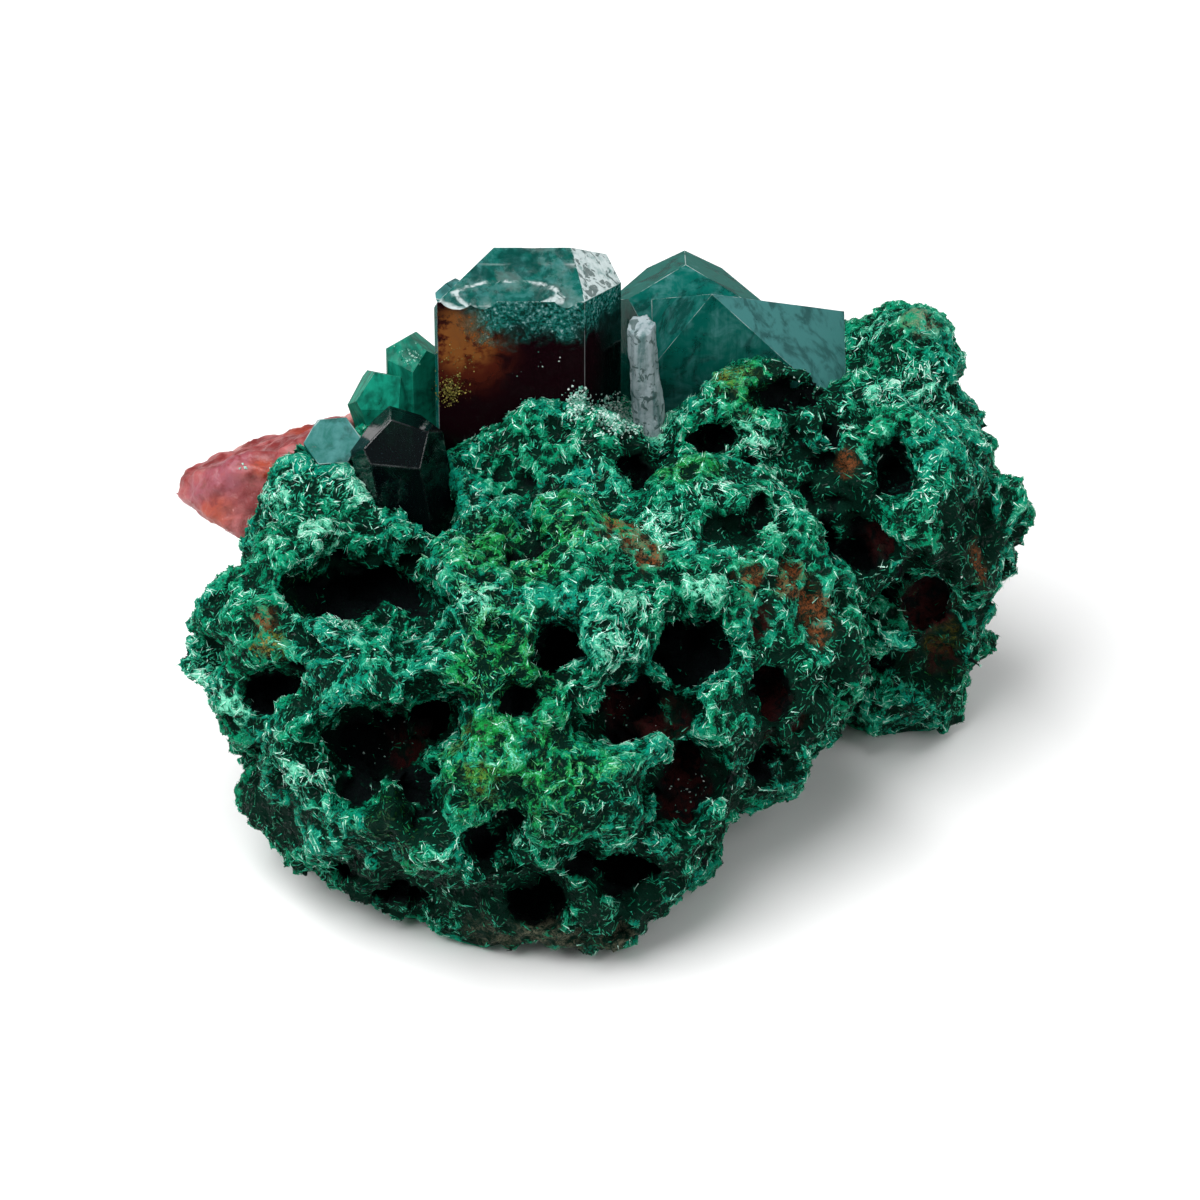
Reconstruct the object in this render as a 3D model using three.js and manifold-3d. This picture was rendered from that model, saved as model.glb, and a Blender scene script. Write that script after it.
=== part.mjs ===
// A dioptase specimen: dark green crystals on a spongy green crust rock, with a pink stone at its side.
// Millimetres, +Z up. The front looks along -Y, and the origin is the middle of the underside.

import * as THREE from "three";
import { ImprovedNoise } from "three/addons/math/ImprovedNoise.js";
import { mergeVertices } from "three/addons/utils/BufferGeometryUtils.js";
import Module from "manifold-3d";

const wasm = await Module();
wasm.setup();

// Driving dimensions
const SOCKET_GAP = 0.3; // room between the rock and what sits in it
const KNOBS = { spacing: 6.0, height: 2.2 }; // the larger swellings of the rock's skin
const NODULES = { spacing: 3.1, height: 1.1 }; // the smaller ones between them
const PIT_RUGGEDNESS = 0.3; // how far a pit's wall strays from an ellipsoid, as a share of its size
const PIT_SINK = 0.25; // how far a pit's middle lies below the skin, as a share of its depth
const HIDDEN_PITS = 47; // tries on the sides and back, which the front doesn't show
const HIDDEN_PIT = { smallest: 1.4, largest: 4.2 }; // their width
const FLOOR = 0.9; // where the lumps are cut off level, so that the rock lies flat
const BLANK = 80; // edge of the block that a crystal is cut from

// Places on the front are given as they are seen from the eye: millimetres right of the aim and above it
const AIM = new THREE.Vector3(0, 0, 15.4);
const VIEW_ELEVATION = THREE.MathUtils.degToRad(33);
const VIEW_DISTANCE = 320;

// The lumps that the rock grew from: the middle of each and its half sizes along X, Y and Z
const LUMPS = [
  { at: [-4.9, -7.2, 12.2], half: [16, 14, 13], detail: 5 }, // front
  { at: [-17.5, -4, 13.2], half: [6.5, 8.6, 9], detail: 3 }, // left cheek
  { at: [-16, -7.6, 8], half: [6, 6.8, 6.6], detail: 2 }, // left foot
  { at: [5.6, -2, 13.8], half: [10, 11.2, 11], detail: 4 }, // right of the middle
  { at: [17.6, 10, 16], half: [7.8, 9.6, 9.4], detail: 4 }, // right flank
  { at: [23.3, 9, 17], half: [3.5, 4, 4], detail: 2 }, // its bulge
  { at: [18.9, 10.6, 7.4], half: [6.2, 7, 7.8], detail: 3 }, // right foot
  { at: [18.6, 14, 22.8], half: [3.3, 4, 4.6], detail: 3 }, // knob at the top right
  { at: [-16.2, 3, 17.4], half: [6, 7, 6.2], detail: 3 }, // left shoulder
  { at: [-3.2, 4.2, 21.8], half: [6.2, 4.6, 4.6], detail: 3 }, // crest before the crystals
  { at: [9, 7.8, 20.8], half: [6, 4.6, 6], detail: 3 }, // saddle before the paired crystals
  { at: [0, 11.6, 10.6], half: [17.6, 12, 11.6], detail: 3 }, // back
  { at: [-8.6, 13.2, 14.6], half: [8.6, 8, 7.6], detail: 3 }, // back, left
  { at: [8.4, 16.6, 13.4], half: [8.6, 7.4, 8.4], detail: 3 }, // back, right
];

// Pits and hollows of the front, each where it is seen, with its width, height and depth
const FRONT_PITS = [
  // The hollow under the left shoulder, and the cleft beside it
  { right: -14.7, up: 0.8, wide: 9.2, high: 5.2, deep: 6 },
  { right: -11.2, up: -0.6, wide: 4.4, high: 4.6, deep: 5 },
  { right: -10.2, up: 5.6, wide: 3.6, high: 6, deep: 6 },
  // The left cheek
  { right: -19.5, up: -5.6, wide: 4.2, high: 3.4, deep: 3.5 },
  { right: -21.8, up: -9.8, wide: 2.2, high: 2.2, deep: 2 },
  // The branching hollow below it
  { right: -13.6, up: -8.6, wide: 6.8, high: 4.6, deep: 5 },
  { right: -10.2, up: -7.2, wide: 4.2, high: 4.8, deep: 5 },
  { right: -11.1, up: -11.1, wide: 2.8, high: 5, deep: 4 },
  { right: -14.4, up: -11.3, wide: 3.2, high: 3, deep: 3 },
  // The reddish hollows right of the middle
  { right: 2, up: -6.8, wide: 7, high: 5, deep: 5 },
  { right: 5.2, up: -10.9, wide: 5.6, high: 6, deep: 5 },
  { right: 5.5, up: -3.4, wide: 4.2, high: 4.6, deep: 4 },
  { right: 10.3, up: -5.9, wide: 2.3, high: 3.8, deep: 3 },
  { right: 9.8, up: -9.4, wide: 2.5, high: 3, deep: 3 },
  // The middle
  { right: -2.4, up: -3.2, wide: 2.8, high: 4.2, deep: 4 },
  { right: -5, up: -5.9, wide: 2.2, high: 2.1, deep: 3 },
  { right: 8.4, up: 4.7, wide: 3.2, high: 2.6, deep: 2.6 },
  { right: 2.6, up: 7.6, wide: 1.9, high: 3.2, deep: 3 },
  // The lower edge
  { right: -6.8, up: -15, wide: 3, high: 3, deep: 3 },
  { right: -0.9, up: -15.8, wide: 2.8, high: 2, deep: 2.5 },
  { right: 1.8, up: -16.8, wide: 4, high: 4, deep: 3.5 },
  { right: -3.8, up: -18.2, wide: 4, high: 3, deep: 3 },
  { right: -12.1, up: -17.7, wide: 3.8, high: 2, deep: 2.2 },
  { right: -16, up: -16.3, wide: 2.8, high: 1.8, deep: 2 },
  // The right flank
  { right: 17.8, up: 7.9, wide: 2.3, high: 3.1, deep: 3 },
  { right: 7, up: 9.7, wide: 3.8, high: 2.8, deep: 3 },
  { right: 11.5, up: 12.2, wide: 5.6, high: 2.4, deep: 3 },
  { right: 19.7, up: -0.2, wide: 6.2, high: 5.2, deep: 4.5 },
  { right: 16.4, up: 3.6, wide: 4.6, high: 3.2, deep: 2.5 },
  { right: 23.5, up: 5, wide: 2.5, high: 1.9, deep: 2 },
  { right: 17.9, up: -3.6, wide: 2.6, high: 2.1, deep: 2 },
];

// Each group of crystals stands at a point of the rock. A crystal is six upright prism faces, at a distance
// from its middle and turned by an angle, leaned as a whole, and closed by end faces: the way each looks,
// its tilt above the level, and its distance. Angles are in degrees, from +X round to +Y.
const CRYSTALS = {
  large_crystal: {
    at: [-4.2, 11, 27],
    crystals: [
      {
        prism: 7.36, // its narrow front left face; the other prism faces follow
        turn: 0,
        foot: 9.5,
        ends: [
          { looks: -90, tilt: 0, out: 5.1 }, // broad front
          { looks: -30, tilt: 0, out: 5.4 },
          { looks: 30, tilt: 0, out: 4.1 },
          { looks: 90, tilt: 0, out: 5.2 },
          { looks: 150, tilt: 0, out: 2.6 },
          { looks: -90, tilt: 66, out: 7.38 }, // roof towards the viewer
          { looks: -17, tilt: 49, out: 7.44 }, // its rough right end
          { looks: 150, tilt: 32, out: 4.97 }, // left
          { looks: 90, tilt: 50, out: 4.81 }, // back
        ],
      },
      {
        at: [-4.5, -0.9, 3.4],
        lean: [0, -25, 0],
        prism: 0.9,
        turn: 20,
        foot: 2,
        ends: [
          { looks: -120, tilt: 55, out: 1.2 },
          { looks: 0, tilt: 55, out: 1.2 },
          { looks: 120, tilt: 55, out: 1.2 },
        ],
      },
    ],
  },
  side_crystal: {
    at: [2.9, 7, 25.2],
    crystals: [
      {
        lean: [0, -5, 0],
        prism: 0.85,
        turn: 4,
        foot: 5,
        ends: [
          { looks: -100, tilt: 75, out: 5.2 },
          { looks: 60, tilt: 60, out: 5.4 },
        ],
      },
    ],
  },
  paired_crystals: {
    at: [7.5, 13, 27],
    crystals: [
      {
        at: [-2.2, 4, -3.6],
        prism: 4.1,
        turn: 0,
        foot: 9.5,
        ends: [
          { looks: -90, tilt: 58, out: 4.85 },
          { looks: 30, tilt: 58, out: 4.85 },
          { looks: 150, tilt: 58, out: 4.85 },
        ],
      },
      {
        prism: 7.7,
        turn: 30,
        foot: 11,
        ends: [
          { looks: -164, tilt: 34, out: 3.78 }, // towards the left
          { looks: -87, tilt: -2, out: 3.33 }, // towards the front
          { looks: -26, tilt: 38.5, out: 3.36 }, // towards the right
          { looks: 86, tilt: 55.6, out: 1.55 }, // behind
          { looks: 180, tilt: 0, out: 4.3 },
        ],
      },
    ],
  },
  hollow_crystal: {
    at: [-11.8, 2.5, 22.4],
    crystals: [
      {
        lean: [4, -8, 0],
        prism: 2.5,
        turn: 0,
        foot: 5,
        ends: [
          { looks: -80, tilt: 34, out: 3.6 },
          { looks: 40, tilt: 55, out: 3.9 },
          { looks: 160, tilt: 50, out: 3.7 },
        ],
      },
    ],
  },
  left_crystals: {
    at: [-12.4, 9, 23],
    crystals: [
      {
        at: [-0.5, -0.2, 0],
        lean: [0, -16, 0],
        prism: 1.9,
        turn: 0,
        foot: 5,
        ends: [
          { looks: -80, tilt: 30, out: 2.5 },
          { looks: 50, tilt: 50, out: 2.6 },
          { looks: 170, tilt: 50, out: 2.6 },
        ],
      },
      {
        at: [0.9, 0.4, 2.9],
        prism: 1.5,
        turn: 35,
        foot: 7,
        ends: [
          { looks: -105, tilt: 34, out: 1.9 },
          { looks: 20, tilt: 50, out: 2 },
          { looks: 140, tilt: 50, out: 2 },
        ],
      },
      {
        at: [1.3, 3.9, 0],
        prism: 1.8,
        turn: 15,
        foot: 6,
        ends: [
          { looks: -60, tilt: 55, out: 2 },
          { looks: 60, tilt: 55, out: 2 },
          { looks: 180, tilt: 55, out: 2 },
        ],
      },
    ],
  },
  left_flat_crystal: {
    at: [-16, 5.2, 22.7],
    crystals: [
      {
        lean: [32, -6, 0],
        prism: 1.55,
        turn: 3,
        foot: 4,
        ends: [
          { looks: 0, tilt: 88, out: 1.6 },
          { looks: 140, tilt: 60, out: 2.2 },
        ],
      },
    ],
  },
};

// The pink stone: its middle, half sizes, the rise of its length towards the rock, and its broken faces
const PINK_STONE = { at: [-19.6, 8, 19], half: [6.8, 4.6, 4.2], rise: -18, detail: 2 };
const PINK_BREAKS = [
  { looks: 95, tilt: 68, out: 2.4 },
  { looks: -100, tilt: 20, out: 3.7 },
  { looks: -150, tilt: -30, out: 4.4 },
];
const PINK_WAVES = { spacing: 5, height: 1.3 };

const FINISHES = {
  rock: { color: 0x2a7d5c, roughness: 0.9, metalness: 0 },
  dioptase: { color: 0x0b5a4c, roughness: 0.12, metalness: 0 },
  pinkStone: { color: 0xa85f5c, roughness: 0.45, metalness: 0 },
};

const perlin = new ImprovedNoise();
const vector = (xyz) => new THREE.Vector3(...xyz);
const radians = THREE.MathUtils.degToRad;

// Smooth swellings of a given spacing and height, at a point
function swelling(point, { spacing, height }) {
  return height * perlin.noise(point.x / spacing + 5.3, point.y / spacing + 2.7, point.z / spacing + 8.1);
}

// A geometry as a closed solid, and a solid as a geometry
function solidOf(geometry) {
  const bare = new THREE.BufferGeometry().setAttribute("position", geometry.getAttribute("position"));
  bare.setIndex(geometry.index);
  const merged = mergeVertices(bare);
  return new wasm.Manifold(
    new wasm.Mesh({
      numProp: 3,
      vertProperties: merged.getAttribute("position").array,
      triVerts: new Uint32Array(merged.index.array),
    }),
  );
}

function geometryOf(solid) {
  const mesh = solid.getMesh();
  const geometry = new THREE.BufferGeometry();
  geometry.setAttribute("position", new THREE.BufferAttribute(mesh.vertProperties, 3));
  geometry.setIndex(new THREE.BufferAttribute(mesh.triVerts, 1));
  geometry.computeVertexNormals();
  return geometry;
}

// A ball stretched to an ellipsoid, with every point moved out by what the swell function gives for it
function lumpGeometry(ball, half, swell) {
  const geometry = ball.clone();
  const place = geometry.getAttribute("position");
  const out = new THREE.Vector3();
  for (let i = 0; i < place.count; i++) {
    out.fromBufferAttribute(place, i);
    const point = out.clone().multiply(half);
    point.addScaledVector(out, swell(point));
    place.setXYZ(i, point.x, point.y, point.z);
  }
  return geometry;
}

function rockLump({ at, half, detail }) {
  const middle = vector(at);
  const skin = (point) => {
    const place = point.clone().add(middle);
    return swelling(place, KNOBS) + swelling(place, NODULES);
  };
  const ball = new THREE.IcosahedronGeometry(1, detail);
  return solidOf(lumpGeometry(ball, vector(half), skin).translate(...at));
}

// A pit's solid: it is cut out of the rock at a point of its skin, along the way that the pit looks
function pitSolid(point, outward, { wide, high, deep }) {
  const half = new THREE.Vector3(wide / 2, high / 2, deep);
  const ragged = PIT_RUGGEDNESS * Math.min(wide, high);
  const waves = { spacing: Math.min(wide, high) / 2, height: ragged };
  const ball = new THREE.OctahedronGeometry(1, Math.min(3, Math.floor(wide / 1.7)));
  const geometry = lumpGeometry(ball, half, (place) => swelling(place.clone().add(point), waves));
  const holder = new THREE.Object3D();
  holder.up.set(0, 0, 1);
  holder.position.copy(point).addScaledVector(outward, -PIT_SINK * deep);
  holder.lookAt(point.clone().add(outward));
  holder.updateMatrix();
  return solidOf(geometry.applyMatrix4(holder.matrix));
}

const VIEW_UP = new THREE.Vector3(0, Math.sin(VIEW_ELEVATION), Math.cos(VIEW_ELEVATION));
const TOWARDS_EYE = new THREE.Vector3(0, -Math.cos(VIEW_ELEVATION), Math.sin(VIEW_ELEVATION));
const EYE = TOWARDS_EYE.clone().multiplyScalar(VIEW_DISTANCE).add(AIM);

// The first point of a mesh on the way from one point towards another
function firstHit(mesh, from, towards) {
  const ray = new THREE.Raycaster(from, towards.clone().sub(from).normalize());
  return ray.intersectObject(mesh)[0];
}

function frontPits(mesh) {
  return FRONT_PITS.map((pit) => {
    const seen = AIM.clone().addScaledVector(VIEW_UP, pit.up);
    seen.x += pit.right;
    const hit = firstHit(mesh, EYE, seen);
    const outward = EYE.clone().sub(hit.point).normalize();
    return pitSolid(hit.point, outward, pit);
  });
}

// Pits on the sides that the viewer doesn't see, at even steps of a spiral round the rock
function hiddenPits(mesh) {
  const goldenAngle = Math.PI * (3 - Math.sqrt(5));
  const centre = new THREE.Vector3(0, 3, 11);
  const pits = [];
  for (let i = 0; i < HIDDEN_PITS; i++) {
    const height = 1 - (2 * (i + 0.5)) / HIDDEN_PITS;
    const round = Math.sqrt(1 - height * height);
    const way = new THREE.Vector3(round * Math.cos(i * goldenAngle), round * Math.sin(i * goldenAngle), height);
    const hit = firstHit(mesh, way.clone().multiplyScalar(VIEW_DISTANCE).add(centre), centre);
    const faces = hit.face.normal.dot(TOWARDS_EYE);
    if (faces > 0.1 || height < -0.75) continue;
    const share = (i * 0.618) % 1;
    const wide = HIDDEN_PIT.smallest + share * share * (HIDDEN_PIT.largest - HIDDEN_PIT.smallest);
    pits.push(pitSolid(hit.point, way, { wide, high: wide * 0.85, deep: wide * 0.9 }));
  }
  return pits;
}

// A block with all beyond one plane cut away: the plane looks a way and lies at a distance from the middle
function cutFace(solid, { looks, tilt, out }) {
  const level = Math.cos(radians(tilt));
  const inward = [-level * Math.cos(radians(looks)), -level * Math.sin(radians(looks)), -Math.sin(radians(tilt))];
  return solid.trimByPlane(inward, -out);
}

// One crystal in its group's frame. It may be grown all round, to cut the socket that it stands in.
function crystalSolid({ at = [0, 0, 0], lean = [0, 0, 0], prism, turn, foot, ends }, grown) {
  const sides = [0, 60, 120, 180, 240, 300].map((angle) => ({ looks: angle - 90 + turn, tilt: 0, out: prism }));
  const faces = [...sides, ...ends, { looks: 0, tilt: -90, out: foot }];
  const block = solidOf(new THREE.BoxGeometry(BLANK, BLANK, BLANK));
  const cut = faces.reduce((solid, face) => cutFace(solid, { ...face, out: face.out + grown }), block);
  const geometry = geometryOf(cut);
  geometry.applyMatrix4(new THREE.Matrix4().makeRotationFromEuler(new THREE.Euler(...lean.map(radians))));
  return solidOf(geometry.translate(...at));
}

function crystalGroup({ at, crystals }, grown) {
  return wasm.Manifold.union(crystals.map((crystal) => crystalSolid(crystal, grown))).translate(at);
}

function pinkStoneSolid(grown) {
  const half = vector(PINK_STONE.half).addScalar(grown);
  const ball = new THREE.IcosahedronGeometry(1, PINK_STONE.detail);
  const lump = lumpGeometry(ball, half, (point) => swelling(point, PINK_WAVES));
  const breaks = PINK_BREAKS.map((face) => ({ ...face, out: face.out + grown }));
  const geometry = geometryOf(breaks.reduce(cutFace, solidOf(lump)));
  return solidOf(geometry.rotateY(radians(PINK_STONE.rise)).translate(...PINK_STONE.at));
}

// The part of a solid that holds together, without stray crumbs
function largestOf(solid) {
  return solid.decompose().reduce((best, part) => (part.volume() > best.volume() ? part : best));
}

function rockSolid(sockets) {
  const lumps = wasm.Manifold.union(LUMPS.map(rockLump)).trimByPlane([0, 0, 1], FLOOR);
  const mesh = new THREE.Mesh(geometryOf(lumps));
  const hollows = [...frontPits(mesh), ...hiddenPits(mesh), ...sockets];
  return largestOf(lumps.subtract(wasm.Manifold.union(hollows)));
}

const specimen = new THREE.Group();
const pieces = new THREE.Group();
specimen.add(pieces);

function addNode(name, solid, finish) {
  const mesh = new THREE.Mesh(geometryOf(solid), new THREE.MeshStandardMaterial(finish));
  mesh.name = name;
  pieces.add(mesh);
}

const groups = Object.entries(CRYSTALS);
const crystalSockets = groups.map(([, group]) => crystalGroup(group, SOCKET_GAP));
const stone = pinkStoneSolid(0).subtract(wasm.Manifold.union(crystalSockets));

addNode("matrix", rockSolid([...crystalSockets, pinkStoneSolid(SOCKET_GAP)]), FINISHES.rock);
groups.forEach(([name, group]) => addNode(name, crystalGroup(group, 0), FINISHES.dioptase));
addNode("pink_stone", largestOf(stone), FINISHES.pinkStone);

// The origin goes to the middle of the underside
const extent = new THREE.Box3().setFromObject(pieces);
const middle = extent.getCenter(new THREE.Vector3());
pieces.position.set(-middle.x, -middle.y, -extent.min.z);

export default specimen;
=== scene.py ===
"""Looks of a dioptase specimen: a pitted green crust rock, see-through crystals and a pink stone."""
import math

import bmesh
import bpy
import numpy as np
from bpy.props import FloatProperty, FloatVectorProperty, IntProperty, PointerProperty
from mathutils import Matrix, Vector, noise
from mathutils.bvhtree import BVHTree


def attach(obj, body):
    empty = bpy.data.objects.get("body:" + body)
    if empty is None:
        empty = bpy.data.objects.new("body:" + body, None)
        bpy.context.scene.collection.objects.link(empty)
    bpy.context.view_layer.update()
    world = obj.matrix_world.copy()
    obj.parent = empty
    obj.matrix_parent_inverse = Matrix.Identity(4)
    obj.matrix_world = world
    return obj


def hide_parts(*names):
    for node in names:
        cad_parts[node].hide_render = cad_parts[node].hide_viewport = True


bl_info = {
    "name": "Dioptase specimen",
    "version": (1, 0, 0),
    "blender": (4, 5, 0),
    "location": "3D View > Sidebar > Specimen",
    "description": "Builds the looks of a dioptase specimen around its solids",
    "category": "Object",
}

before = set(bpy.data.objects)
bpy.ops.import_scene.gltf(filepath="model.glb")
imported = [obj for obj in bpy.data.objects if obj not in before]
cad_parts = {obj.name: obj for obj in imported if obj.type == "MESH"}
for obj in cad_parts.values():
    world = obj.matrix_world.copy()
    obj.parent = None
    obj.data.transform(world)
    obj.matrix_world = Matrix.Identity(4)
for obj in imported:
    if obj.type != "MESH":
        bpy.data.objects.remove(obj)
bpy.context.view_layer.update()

# Shapes are worked out in millimetres and scaled to metres when a piece is finished.
MM = 0.001
CRYSTALS = ("large_crystal", "side_crystal", "paired_crystals", "hollow_crystal", "left_crystals",
            "left_flat_crystal")

# The view that the specimen is arranged for: the point at the picture's middle and the eye's place.
AIM = Vector((-0.224, -0.993, 14.5))
VIEW_RISE = math.radians(33)
VIEW_DISTANCE = 320.0
VIEW_UP = Vector((0, math.sin(VIEW_RISE), math.cos(VIEW_RISE)))
EYE = AIM + VIEW_DISTANCE * Vector((0, -math.cos(VIEW_RISE), math.sin(VIEW_RISE)))

# Stains on the rock, and patches and hollows darkened with painted shade: millimetres right of and above the
# picture's middle, and how far each spreads.
STAINS_AND_SHADE = {
    "rust": ((1.2, 4.3, 1.9), (2.9, 2.7, 1.1), (11.6, 1.2, 1.5), (12.9, -0.6, 1.6), (13.2, -2.0, 1.1),
             (-20.4, -1.4, 1.0), (-20.5, -2.8, 0.8), (22.8, 2.2, 1.3), (14.8, 8.3, 0.9), (9.3, 1.2, 1.2)),
    "maroon": ((0.7, -6.4, 2.0), (3.0, -7.6, 2.2), (5.6, -10.6, 2.6), (5.2, -13.0, 1.8), (10.2, -6.3, 2.2),
               (9.7, -1.2, 1.6), (19.6, -0.8, 2.4), (21.0, -3.2, 1.5), (-11.0, -9.0, 2.0), (17.5, 3.6, 1.5)),
    "olive": ((-8.6, -8.7, 1.4), (-20.0, -2.6, 1.2), (7.9, 13.8, 1.6), (20.6, -2.4, 1.6), (-7.0, -11.0, 1.2)),
    "tan": ((19.2, 17.2, 1.7),),
    "pale": ((4.0, 4.2, 1.9), (6.6, 6.4, 1.3), (9.3, 6.2, 1.2), (10.6, 4.6, 1.1), (-7.4, 0.2, 2.0),
             (1.0, -3.1, 2.3), (2.2, 0.0, 1.8), (10.3, 8.9, 1.9), (12.6, -5.0, 1.5), (17.0, 12.6, 1.9),
             (-17.0, 4.6, 2.4), (-20.0, 6.2, 1.8), (-15.0, 6.6, 1.8), (-14.6, -1.8, 2.0), (13.8, 11.6, 2.2),
             (19.6, 12.0, 2.4), (8.6, 10.0, 1.6), (-23.8, -4.4, 1.8), (13.4, -9.6, 2.2), (11.6, -12.8, 2.0),
             (-4.6, -13.4, 2.0), (16.6, 16.4, 1.6), (24.0, 8.0, 1.8), (-18.2, -10.6, 2.0), (3.6, 9.8, 1.8),
             (-22.2, -6.5, 1.6), (6.3, 1.2, 1.6)),
    # Hollows lined near black, with their dark coating and painted shade
    "hollows": ((-14.9, 0.7, 4.4), (-11.7, -0.4, 2.8), (-10.2, 5.6, 3.2), (-19.5, -5.6, 2.2),
                (-13.8, -8.6, 3.4), (-10.2, -7.0, 2.6), (-11.1, -11.3, 2.2), (-14.4, -11.4, 1.6),
                (1.9, -6.8, 3.2), (5.4, -11.3, 3.0), (5.5, -3.5, 2.4), (10.3, -5.9, 2.0), (9.8, -9.4, 1.8),
                (-2.4, -3.2, 2.2), (-5.0, -5.9, 1.4), (-6.8, -15.0, 1.6), (-0.9, -15.8, 1.6),
                (1.8, -16.8, 2.0), (-3.8, -18.2, 2.0), (17.8, 7.9, 1.6), (11.5, 12.2, 2.4), (19.7, 0.0, 2.6),
                (16.4, 3.6, 1.8), (-12.1, -17.7, 1.8)),
    "leaf": ((-6.0, 2.5, 4.5), (-7.5, -9.0, 4.5), (-2.0, 6.0, 4.0), (-6.0, -4.0, 4.0), (-2.5, -10.5, 4.0),
             (-13.0, -13.5, 3.0), (9.0, 13.0, 2.5), (-19.0, 0.5, 2.5), (5.0, 8.5, 2.5), (20.0, -4.0, 2.5)),
    "base": ((-3.3, -20.8, 2.6), (-7.0, -20.2, 1.8), (0.8, -20.6, 1.6)),
    # Patches of painted shade, where the crust and its threads are darker and the threads fewer
    "dim": ((-14.2, 0.9, 5.2), (-10.6, 6.2, 3.4), (-13.2, -8.8, 5.6), (-19.4, -5.8, 3.2), (-12.5, -12.5, 3.4),
            (1.6, -7.6, 3.8), (5.0, -11.4, 4.4), (5.6, -3.4, 3.4), (-2.2, -3.0, 3.0), (11.4, -6.8, 3.6),
            (22.0, 3.2, 4.0), (19.8, -2.8, 3.6), (17.2, 3.0, 3.0), (12.4, 13.2, 3.4), (2.6, 9.4, 2.2),
            (-6.0, -18.0, 5.0), (0.6, -17.6, 4.6), (-12.8, -17.0, 3.6), (9.2, -15.4, 3.2), (14.6, 6.4, 2.6),
            (-5.0, -6.2, 2.6), (8.2, 3.4, 2.0), (-20.6, -12.0, 3.0), (15.0, -3.6, 2.4), (-23.6, -8.6, 2.4)),
}
# Hollows opened wider than in the solid: right and up as above, half their width and half their height
HOLLOWS = ((-14.6, 1.0, 4.8, 3.0), (-11.3, -0.6, 2.2, 2.3), (-13.6, -8.8, 3.6, 2.7), (-10.0, -7.2, 2.2, 2.7),
           (-11.0, -11.6, 1.5, 2.6), (-14.6, -11.4, 1.8, 1.8), (-19.5, -5.6, 2.2, 1.8),
           (-21.8, -9.8, 1.2, 1.2), (2.0, -6.8, 3.6, 2.6), (5.2, -10.9, 2.8, 3.1), (5.5, -3.4, 2.2, 2.4),
           (10.3, -5.9, 1.3, 2.0), (9.8, -9.4, 1.3, 1.6), (-2.4, -3.2, 1.5, 2.2), (-5.0, -5.9, 1.2, 1.1),
           (-6.8, -15.0, 1.6, 1.6), (-3.8, -18.2, 2.0, 1.7), (1.8, -16.8, 2.1, 2.1), (-12.1, -17.7, 2.0, 1.2),
           (-16.0, -16.3, 1.5, 1.1), (-5.2, -13.5, 0.9, 0.9), (-0.9, -15.8, 1.5, 1.2), (17.8, 7.9, 1.3, 1.7),
           (19.7, -0.2, 3.1, 2.6))
# Stains on the pink stone, as those on the rock
STONE_STAINS = {
    "red": ((-19.6, 9.2, 1.7), (-15.9, 11.6, 0.9), (-17.8, 8.2, 1.2), (-21.4, 6.2, 1.0)),
    "orange": ((-18.5, 10.3, 1.2), (-23.4, 5.3, 1.4), (-20.6, 8.0, 0.9)),
    "pale": ((-25.8, 7.8, 1.5), (-15.2, 11.2, 1.3), (-22.0, 9.2, 0.9)),
    "purple": ((-22.8, 8.0, 2.0), (-24.2, 6.6, 1.2)),
}
# Loose grains: right and up as above, spread, how many, and how wide the largest is
WHITE_GRAINS = ((0.9, 11.2, 1.2, 800, 0.26), (-1.2, 11.9, 0.8, 340, 0.26), (2.0, 10.9, 0.8, 260, 0.28),
                (-11.5, 14.8, 0.7, 40, 0.2), (1.2, -6.4, 1.7, 24, 0.2), (5.5, -11.5, 1.7, 24, 0.2),
                (22.0, 3.0, 2.0, 30, 0.2), (-13.4, -8.6, 2.2, 24, 0.2), (-4.0, 14.0, 2.2, 12, 0.14),
                (-21.6, 8.0, 0.3, 4, 0.3), (12.6, 13.0, 1.8, 20, 0.2))
GOLD_GRAINS = ((-9.0, 12.7, 0.9, 320, 0.16), (-8.4, 14.6, 1.3, 60, 0.12), (-20.3, -2.8, 0.8, 70, 0.25))
# Veils on the crystals' faces: the way a face looks, how much of it is veiled, and how light the veil is,
# that lightness set face by face as painted light and shade
LARGE_VEILS = (((0, -0.407, 0.914), 0.8, 0.25), ((-0.73, 0.42, 0.53), 0.6, 0.3), ((0, 0.64, 0.77), 0.6, 0.3),
               ((0, -1, 0), 0.0, 0.0), ((0.87, -0.5, 0), 0.0, 0.0), ((0.63, -0.19, 0.75), 0.0, 0.0))
LARGE_USUAL = (0.75, 0.15)  # share and lightness of its other faces
TINY_VEIL = (0.95, 0.8)  # the same for the tiny crystal that is grown into its back
TINY_FACE = 4  # square millimetres; smaller faces are taken for those of the tiny crystal
PAIRED_VEILS = (((0.70, -0.34, 0.62), 0.85, 0.9), ((0, -0.53, 0.85), 0.88, 0.3),
                ((0.46, 0.26, 0.85), 0.9, 0.1), ((-0.46, 0.26, 0.85), 0.9, 0.1),
                ((-0.87, -0.5, 0), 0.8, 0.15), ((0.05, -1, -0.03), 0.88, 0.3),
                ((-0.80, -0.23, 0.56), 0.88, 0.3))
FLAT_VEILS = (((-0.07, -0.53, 0.85), 0.95, 0.5),)
ROUGH_END = Vector((0.627, -0.192, 0.755)).normalized()  # the way the large crystal's frosted end looks
SAME_WAY = 0.985  # two directions count as one when the cosine between them is above this
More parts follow.
